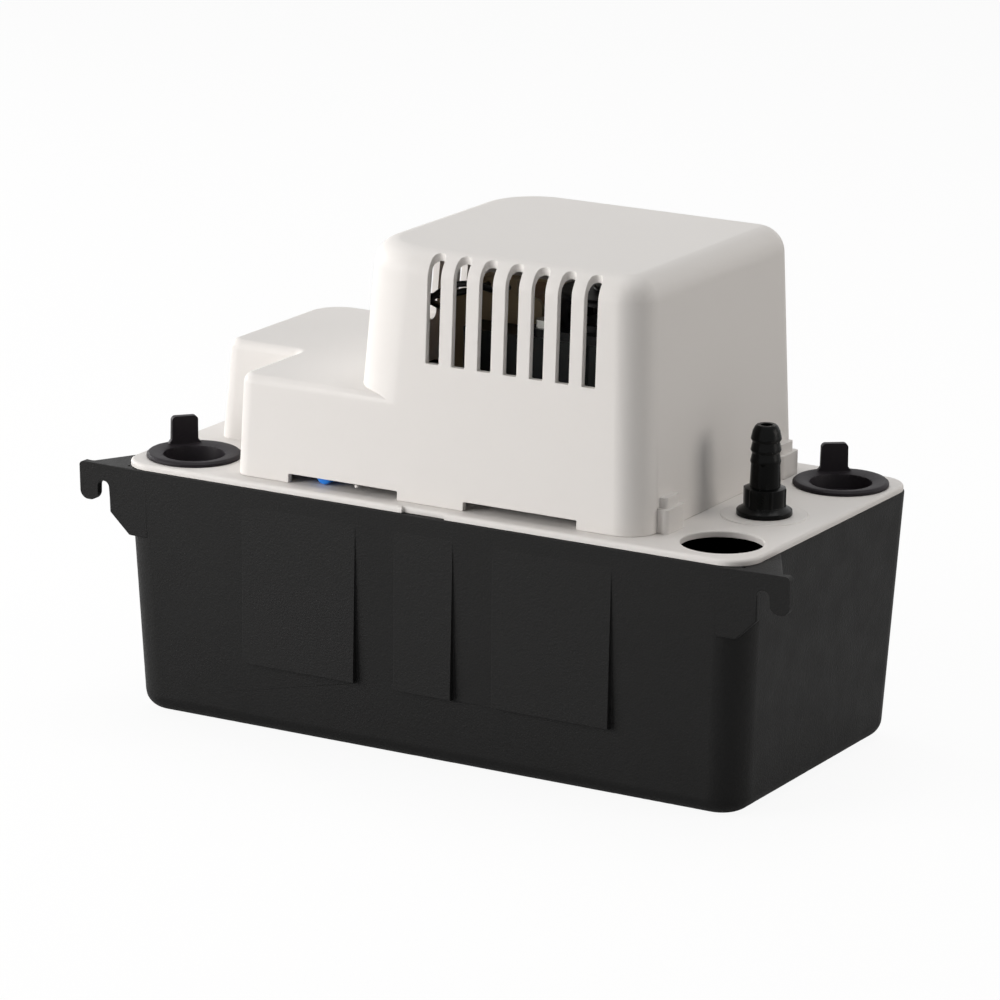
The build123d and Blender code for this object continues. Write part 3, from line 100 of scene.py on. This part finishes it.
def mix_colour(tree, factor, first, second):
    node = tree.nodes.new("ShaderNodeMix")
    node.data_type = "RGBA"
    tree.links.new(factor, node.inputs["Factor"])
    for socket, value in (("A", first), ("B", second)):
        target = next(s for s in node.inputs if s.name == socket and s.type == "RGBA")
        if isinstance(value, bpy.types.NodeSocket):
            tree.links.new(value, target)
        else:
            target.default_value = (*value, 1)
    return next(s for s in node.outputs if s.type == "RGBA")


def arithmetic(tree, operation, first, second):
    node = tree.nodes.new("ShaderNodeMath")
    node.operation = operation
    for socket, value in zip(node.inputs, (first, second)):
        if isinstance(value, bpy.types.NodeSocket):
            tree.links.new(value, socket)
        else:
            socket.default_value = value
    return node.outputs["Value"]


def bump(tree, height, distance, under=None):
    node = tree.nodes.new("ShaderNodeBump")
    node.inputs["Distance"].default_value = distance
    tree.links.new(height, node.inputs["Height"])
    if under is not None:
        tree.links.new(under, node.inputs["Normal"])
    return node.outputs["Normal"]


def shade(colour, factor):
    return tuple(min(1.0, c * factor) for c in colour)


def moulded(name, colour, roughness, vary=0.05, patch=18.0, grain=900.0, grain_height=0.02 * mm, peel=120.0,
            peel_height=0.03 * mm, rough_vary=0.06, specular=0.5, metallic=0.0, speck=None):
    """A moulded or painted skin: slow colour drift, a fine grain over a slower unevenness, and a drifting gloss."""
    material, tree, shader = new_material(name)
    point = object_point(tree)
    drift = noise(tree, point, patch, 3)
    tint = mix_colour(tree, drift, shade(colour, 1 - vary), shade(colour, 1 + vary))
    if speck:
        scale, speck_colour, amount = speck
        dots = remap(tree, noise(tree, point, scale, 2), 0, amount, 0.62, 0.72)
        tint = mix_colour(tree, dots, tint, speck_colour)
    tree.links.new(tint, shader.inputs["Base Color"])
    gloss = noise(tree, point, patch * 4, 5)
    gloss = remap(tree, gloss, roughness - rough_vary, roughness + rough_vary, 0.25, 0.75)
    tree.links.new(gloss, shader.inputs["Roughness"])
    slow = bump(tree, noise(tree, point, peel, 2), peel_height)
    fine = bump(tree, noise(tree, point, grain, 3), grain_height, under=slow)
    tree.links.new(fine, shader.inputs["Normal"])
    shader.inputs["Specular IOR Level"].default_value = specular
    shader.inputs["Metallic"].default_value = metallic
    return material


def metal(name, colour, roughness, direction=(1, 1, 0.05), line_scale=900.0, line_height=0.004 * mm, stain=0.12):
    """Bare or plated metal: stretched tool lines, and a faint stain that drifts over it."""
    material, tree, shader = new_material(name)
    lined = object_point(tree, direction)
    plain = object_point(tree)
    stains = noise(tree, plain, 160, 4)
    tint = mix_colour(tree, stains, shade(colour, 1 - stain), shade(colour, 1 + stain))
    tree.links.new(tint, shader.inputs["Base Color"])
    lines = noise(tree, lined, line_scale, 4)
    tree.links.new(remap(tree, lines, roughness - 0.08, roughness + 0.1, 0.3, 0.7), shader.inputs["Roughness"])
    tree.links.new(bump(tree, lines, line_height), shader.inputs["Normal"])
    shader.inputs["Metallic"].default_value = 1.0
    return material


def laminations(pair_of_sheets=1.2 * mm):
    """Varnished stamped sheets with dark joints, and rust freckles under the varnish."""
    material, tree, shader = new_material("varnished_laminations")
    point = object_point(tree)
    layers = bands(tree, point, 1 / pair_of_sheets, "Z", 0.15)
    freckles = remap(tree, noise(tree, point, 420, 5), 0, 0.6, 0.55, 0.75)
    tint = mix_colour(tree, layers, (0.003, 0.0035, 0.0035), (0.014, 0.018, 0.018))
    tint = mix_colour(tree, freckles, tint, (0.02, 0.011, 0.007))
    tree.links.new(tint, shader.inputs["Base Color"])
    tree.links.new(remap(tree, noise(tree, point, 90, 4), 0.28, 0.5), shader.inputs["Roughness"])
    tree.links.new(bump(tree, layers, 0.08 * mm), shader.inputs["Normal"])
    shader.inputs["Specular IOR Level"].default_value = 0.3
    return material


def tape():
    """Varnished cloth tape round the coil: a fine weave, wrapped edges and amber varnish."""
    material, tree, shader = new_material("coil_tape")
    point = object_point(tree)
    wrap = bands(tree, object_point(tree, (0.25, 0.25, 1)), 55, "Z", 2.0, "SAW")
    weave = arithmetic(tree, "MULTIPLY", bands(tree, point, 700, "Z"), bands(tree, point, 700, "X"))
    tint = mix_colour(tree, wrap, (0.36, 0.18, 0.07), (0.52, 0.3, 0.13))
    tint = mix_colour(tree, remap(tree, noise(tree, point, 60, 4), 0, 0.7), tint, (0.2, 0.09, 0.035))
    tree.links.new(tint, shader.inputs["Base Color"])
    tree.links.new(remap(tree, noise(tree, point, 200, 4), 0.3, 0.55), shader.inputs["Roughness"])
    slow = bump(tree, wrap, 0.25 * mm)
    tree.links.new(bump(tree, weave, 0.06 * mm, under=slow), shader.inputs["Normal"])
    shader.inputs["Coat Weight"].default_value = 0.3
    return material


def clear_tubing():
    material, tree, shader = new_material("clear_tubing")
    point = object_point(tree)
    tint = mix_colour(tree, noise(tree, point, 60, 3), (0.74, 0.78, 0.74), (0.86, 0.88, 0.84))
    tree.links.new(tint, shader.inputs["Base Color"])
    tree.links.new(remap(tree, noise(tree, point, 150, 4), 0.12, 0.3), shader.inputs["Roughness"])
    tree.links.new(bump(tree, noise(tree, point, 300, 3), 0.03 * mm), shader.inputs["Normal"])
    shader.inputs["Transmission Weight"].default_value = 0.7
    shader.inputs["IOR"].default_value = 1.45
    return material


finishes = {
    "white_plastic": moulded("white_plastic", (0.80, 0.775, 0.75), 0.5, specular=0.3, vary=0.012, grain=1500,
                             grain_height=0.006 * mm, peel=260, peel_height=0.012 * mm, rough_vary=0.04),
    "tank_plastic": moulded("tank_plastic", (0.0095, 0.0095, 0.0095), 0.5, specular=0.15, vary=0.12, grain=1500,
                            grain_height=0.12 * mm, peel=700),
    "plug_rubber": moulded("plug_rubber", (0.010, 0.0075, 0.010), 0.55, specular=0.2, vary=0.1, grain=1800,
                           speck=(900, (0.03, 0.027, 0.03), 0.25)),
    "black_gloss": moulded("black_gloss", (0.0022, 0.0025, 0.0024), 0.24, specular=0.1, vary=0.1, grain=1200,
                           grain_height=0.006 * mm),
    "black_plastic": moulded("black_plastic", (0.015, 0.015, 0.016), 0.42, vary=0.15, grain=1800),
    "grey_plastic": moulded("grey_plastic", (0.40, 0.41, 0.42), 0.42),
    "clear_tube": clear_tubing(),
    "lamination_steel": laminations(),
    "coil_tape": tape(),
    "bobbin_plastic": moulded("bobbin_plastic", (0.46, 0.36, 0.22), 0.4, vary=0.1),
    "copper": metal("bare_copper", (0.72, 0.32, 0.16), 0.3),
    "bronze": moulded("sintered_bronze", (0.46, 0.28, 0.12), 0.42, vary=0.15, metallic=1.0, grain=3000,
                      grain_height=0.05 * mm, speck=(2500, (0.1, 0.05, 0.02), 0.8)),
    "bracket_metal": moulded("black_painted_casting", (0.005, 0.005, 0.006), 0.38, specular=0.25, vary=0.15,
                             grain=1400, grain_height=0.06 * mm, peel=300, peel_height=0.08 * mm),
    "zinc_screw": metal("zinc_plate", (0.62, 0.62, 0.58), 0.32),
    "shaft_steel": metal("ground_steel", (0.62, 0.62, 0.62), 0.22, direction=(0.05, 0.05, 1)),
    "rotor_metal": metal("cast_rotor", (0.5, 0.5, 0.5), 0.4),
    "seal_rubber": moulded("seal_rubber", (0.016, 0.016, 0.016), 0.55, vary=0.1, grain=1800),
    "float_plastic": moulded("closed_cell_float", (0.72, 0.69, 0.61), 0.6, grain=1600, grain_height=0.12 * mm,
                             peel=500, peel_height=0.1 * mm),
    "blue_plastic": moulded("blue_connector", (0.02, 0.24, 0.85), 0.3, vary=0.08),
    "lead_black": moulded("lead_insulation", (0.010, 0.010, 0.010), 0.36, vary=0.1, grain=1500),
}

slot_of = {part["node"]: part["material_slot"] for part in frame["record"]["subparts"]}
for name, cad in nodes.items():
    material = finishes[slot_of[name]]
    for place in cad.material_slots:
        place.material = material
    if not cad.material_slots:
        cad.data.materials.append(material)


# Moulded pieces keep the frame's surfaces and get rounded edges

body_of = {node: body for body, members in frame["record"]["behaviour"]["bodies"].items() for node in members}


def finish_mesh(name, form, material, smooth_angle=34):
    """Object from a bmesh, smooth apart from its sharp edges and the folds between two broad flats."""
    def broad(face):
        return face.calc_area() / max(edge.calc_length() for edge in face.edges) > 4 * mm

    for face in form.faces:
        face.smooth = True
    for edge in form.edges:
        if len(edge.link_faces) == 2:
            turn = edge.calc_face_angle(0)
            flats = turn > math.radians(0.6) and all(broad(face) for face in edge.link_faces)
            edge.smooth = not (flats or turn > math.radians(smooth_angle))
    mesh = bpy.data.meshes.new(name)
    form.to_mesh(mesh)
    form.free()
    mesh.materials.append(material)
    piece = bpy.data.objects.new(name, mesh)
    bpy.context.scene.collection.objects.link(piece)
    return piece


def stand_for(piece, node):
    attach(piece, body_of[node])
    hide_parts(node)
    return piece


def trim_tank(form):
    """The ears' fronts lean with the drafted wall, and the panels' feet stand out less."""
    rim_height = 88.9 * mm
    rim_front = 64.3 * mm
    wall_lean = math.tan(math.radians(3))
    ear_root = 112.3 * mm
    ear_skin = 0.05 * mm
    lip_height = 1 * mm
    panel_foot = 24.9 * mm
    panel_face = 63.9 * mm
    panel_setback = 0.9 * mm
    for vertex in form.verts:
        place = vertex.co
        on_front = place.y < 0.01 * mm - rim_front
        if on_front and abs(place.x) > ear_root and place.z < rim_height:
            below_lip = place.z < rim_height - lip_height
            place.y = (rim_height - place.z) * wall_lean - rim_front - ear_skin * below_lip
        elif abs(place.z - panel_foot) < 0.05 * mm and abs(abs(place.y) - panel_face) < 0.2 * mm:
            place.y -= math.copysign(panel_setback, place.y)


def edged(node, radius=0.3 * mm, steps=2, sharper_than=38, trim=None):
    """The node's own surface with its sharp edges rounded, where the faces beside them have the room."""
    def roomy(face):
        return face.calc_area() / max(edge.calc_length() for edge in face.edges) > 1.3 * radius

    form = bmesh.new()
    form.from_mesh(nodes[node].data)
    bmesh.ops.remove_doubles(form, verts=form.verts, dist=1e-6)
    bmesh.ops.dissolve_limit(form, angle_limit=math.radians(0.5), verts=form.verts, edges=form.edges)
    if trim:
        trim(form)
    sharp = [
        edge for edge in form.edges
        if len(edge.link_faces) == 2 and edge.calc_face_angle(0) > math.radians(sharper_than)
        and all(roomy(face) for face in edge.link_faces)
    ]
    bmesh.ops.bevel(form, geom=sharp, offset=radius, offset_type="OFFSET", segments=steps, profile=0.5,
                    affect="EDGES", clamp_overlap=False, miter_outer="ARC")
    piece = finish_mesh(node + "_shell", form, finishes[slot_of[node]])
    weighted = piece.modifiers.new("even_normals", "WEIGHTED_NORMAL")
    weighted.keep_sharp = True
    return stand_for(piece, node)


for node, radius in (("motor_cover", 0.35), ("deck", 0.3), ("inlet_plug_left", 0.35), ("inlet_plug_right", 0.35),
                     ("check_valve_body", 0.2)):
    edged(node, radius * mm)
edged("tank", 0.45 * mm, trim=trim_tank)


def connector_cap():
    """Moulded wire connector: a blunt rounded end at the gap, drawn out a little towards the leads."""
    radius = 3.2 * mm
    front_y = -54.5 * mm
    centre_x = -45.5 * mm
    centre_z = 94.35 * mm
    turns = 40
    blunt_end = [(0, 0), (0.4, 0), (0.66, 0.04), (0.84, 0.14), (0.92, 0.3)]
    skirt_and_bore = [(0.97, 3.6), (1, 5.34), (0.45, 5.34), (0.41, 3.8)]
    form = bmesh.new()
    rings = []
    for across, along in blunt_end + skirt_and_bore:
        ring = []
        for turn in range(turns):
            angle = 2 * math.pi * turn / turns
            x = centre_x + across * radius * math.cos(angle)
            z = centre_z + across * radius * math.sin(angle)
            ring.append(form.verts.new((x, front_y + along * radius, z)))
        rings.append(ring)
    for ring, following in zip(rings, rings[1:]):
        for turn in range(turns):
            after = (turn + 1) % turns
            form.faces.new((ring[turn], ring[after], following[after], following[turn]))
    form.faces.new(reversed(rings[-1]))
    bmesh.ops.remove_doubles(form, verts=form.verts, dist=1e-6)
    bmesh.ops.recalc_face_normals(form, faces=form.faces)
    cap = finish_mesh("wire_connector_cap", form, finishes[slot_of["wire_connector"]])
    return stand_for(cap, "wire_connector")


connector_cap()


# The valve's spring as a smooth-shaded coil, on a mesh of its own

coil = bmesh.new()
coil.from_mesh(nodes["valve_spring"].data)
spring = stand_for(finish_mesh("valve_spring_coil", coil, finishes[slot_of["valve_spring"]]), "valve_spring")
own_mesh(spring)


# The two leads run as curves along their routes

lead_radius = 1.1 * mm


def lead_curve(node, route):
    """One insulated lead as a smooth curve near its route, in millimetres."""
    line = bpy.data.curves.new(node + "_line", "CURVE")
    line.dimensions = "3D"
    line.resolution_u = 12
    line.bevel_depth = lead_radius
    line.bevel_resolution = 5
    line.use_fill_caps = True
    run = line.splines.new("NURBS")
    run.points.add(len(route) - 1)
    for place, point in zip(run.points, route):
        place.co = (*(value * mm for value in point), 1)
    run.order_u = 3
    run.use_endpoint_u = True
    line.materials.append(finishes[slot_of[node]])
    piece = bpy.data.objects.new(node + "_curve", line)
    bpy.context.scene.collection.objects.link(piece)
    stand_for(piece, node)


lead_curve("motor_lead", [
    (4, -13.9, 159.8), (4, -21.9, 159.8), (3.5, -29.9, 162.8), (1, -36.4, 165.3), (-5, -39.9, 164.1),
    (-11.5, -40.9, 159.0), (-16.5, -41.4, 150.8), (-20, -41.4, 139.8), (-22.5, -39.4, 128.8), (-25, -35.5, 118.8),
    (-27.6, -28.5, 109.55), (-29.6, -18.5, 102.15), (-32, -7.5, 97.85), (-36.4, -1.2, 96.15), (-43.2, -0.2, 95.15),
    (-48.6, -4.6, 94.65), (-49.4, -12.5, 94.45), (-47, -21.5, 94.45), (-45.5, -30.5, 94.45), (-45.5, -42.4, 94.45),
])
lead_curve("switch_lead", [
    (-4, -13.9, 159.8), (-4, -22, 159.8), (-7.2, -28.9, 159.4), (-13.2, -32.4, 158.4), (-19.2, -30.4, 156.6),
    (-22, -24, 153.9), (-22, -14.6, 149.6), (-21.4, -3.6, 143.8), (-21.6, 7, 136.6), (-23.2, 15.25, 129.3),
    (-23.8, 16.75, 122.4),
])


# Light, floor and camera

def area_light(name, place, target, size, power, colour=(1, 1, 1)):
    light = bpy.data.lights.new(name, "AREA")
    light.shape = "RECTANGLE"
    light.size = size[0]
    light.size_y = size[1]
    light.energy = power
    light.color = colour
    lamp = bpy.data.objects.new(name, light)
    bpy.context.scene.collection.objects.link(lamp)
    lamp.location = place
    lamp.rotation_euler = (Vector(target) - Vector(place)).to_track_quat("-Z", "Y").to_euler()
    return lamp


middle = (0, 0, 0.08)
area_light("key", (-1.15, -1.1, 0.34), middle, (1.2, 1.2), 29.5, (1.0, 0.98, 0.965))
area_light("overhead", (-0.1, 0.3, 1.7), middle, (1.2, 1.0), 11.3)
area_light("left_rim", (-1.5, 0.5, 0.3), middle, (0.35, 0.5), 5.5)
area_light("right_fill", (1.45, 0.48, 0.55), middle, (0.7, 0.7), 5.8, (1.0, 0.95, 0.90))


def sees_backdrop(tree, light_path, in_gloss=1.0):
    """Share of the backdrop that a ray sees: all of it from the camera and through glass, in_gloss of it in gloss."""
    gloss = arithmetic(tree, "MULTIPLY", light_path.outputs["Is Glossy Ray"], in_gloss)
    direct = arithmetic(tree, "MAXIMUM", light_path.outputs["Is Camera Ray"], gloss)
    return arithmetic(tree, "MAXIMUM", direct, light_path.outputs["Is Transmission Ray"])


world = bpy.data.worlds.new("studio")
bpy.context.scene.world = world
world.use_nodes = True
world_tree = world.node_tree
surround = world_tree.nodes["Background"]
surround.inputs["Color"].default_value = (1, 0.995, 0.985, 1)
surround.inputs["Strength"].default_value = 0.14
backdrop = world_tree.nodes.new("ShaderNodeBackground")
backdrop.inputs["Color"].default_value = (1, 1, 1, 1)
backdrop.inputs["Strength"].default_value = 1.0
rays = world_tree.nodes.new("ShaderNodeLightPath")
choose = world_tree.nodes.new("ShaderNodeMixShader")
world_tree.links.new(sees_backdrop(world_tree, rays), choose.inputs["Fac"])
world_tree.links.new(surround.outputs["Background"], choose.inputs[1])
world_tree.links.new(backdrop.outputs["Background"], choose.inputs[2])
world_tree.links.new(choose.outputs["Shader"], world_tree.nodes["World Output"].inputs["Surface"])

floor_mesh = bpy.data.meshes.new("floor")
floor_form = bmesh.new()
bmesh.ops.create_grid(floor_form, x_segments=8, y_segments=8, size=6)
floor_form.to_mesh(floor_mesh)
floor_form.free()
floor = bpy.data.objects.new("floor", floor_mesh)
bpy.context.scene.collection.objects.link(floor)
floor.location = (0, 0, -0.0002)
floor_material, floor_tree, floor_shader = new_material("pale_floor")
floor_point = object_point(floor_tree)
floor_tint = mix_colour(floor_tree, noise(floor_tree, floor_point, 3, 3), (0.58, 0.58, 0.58), (0.62, 0.62, 0.62))
floor_tree.links.new(floor_tint, floor_shader.inputs["Base Color"])
floor_shader.inputs["Roughness"].default_value = 0.7
floor_white = floor_tree.nodes.new("ShaderNodeEmission")
floor_white.inputs["Strength"].default_value = 1.07
floor_rays = floor_tree.nodes.new("ShaderNodeLightPath")
floor_share = arithmetic(floor_tree, "MULTIPLY", sees_backdrop(floor_tree, floor_rays, 0.15), 0.86)
floor_mix = floor_tree.nodes.new("ShaderNodeMixShader")
floor_tree.links.new(floor_share, floor_mix.inputs["Fac"])
floor_tree.links.new(floor_shader.outputs["BSDF"], floor_mix.inputs[1])
floor_tree.links.new(floor_white.outputs["Emission"], floor_mix.inputs[2])
floor_tree.links.new(floor_mix.outputs["Shader"], floor_tree.nodes["Material Output"].inputs["Surface"])
floor.data.materials.append(floor_material)

# The photograph's view: 29.5 degrees round from the front, 15 up, through a long lens
camera_azimuth = math.radians(29.52)
camera_elevation = math.radians(15.04)
camera_roll = math.radians(0.87)
camera_target = Vector((-0.00603, 0, 0.0795))
camera_distance = 1.9293
camera_data = bpy.data.cameras.new("camera")
camera_data.sensor_width = 36
camera_data.lens = 5.505 * 36
camera_data.clip_end = 50
camera = bpy.data.objects.new("camera", camera_data)
bpy.context.scene.collection.objects.link(camera)
away = Vector((math.sin(camera_azimuth) * math.cos(camera_elevation),
               -math.cos(camera_azimuth) * math.cos(camera_elevation), math.sin(camera_elevation)))
camera.location = camera_target + camera_distance * away
aim = (-away).to_track_quat("-Z", "Y").to_matrix().to_4x4()
camera.rotation_euler = (aim @ Matrix.Rotation(camera_roll, 4, "Z")).to_euler()
bpy.context.scene.camera = camera

settings = bpy.context.scene.view_settings
settings.view_transform = "Standard"
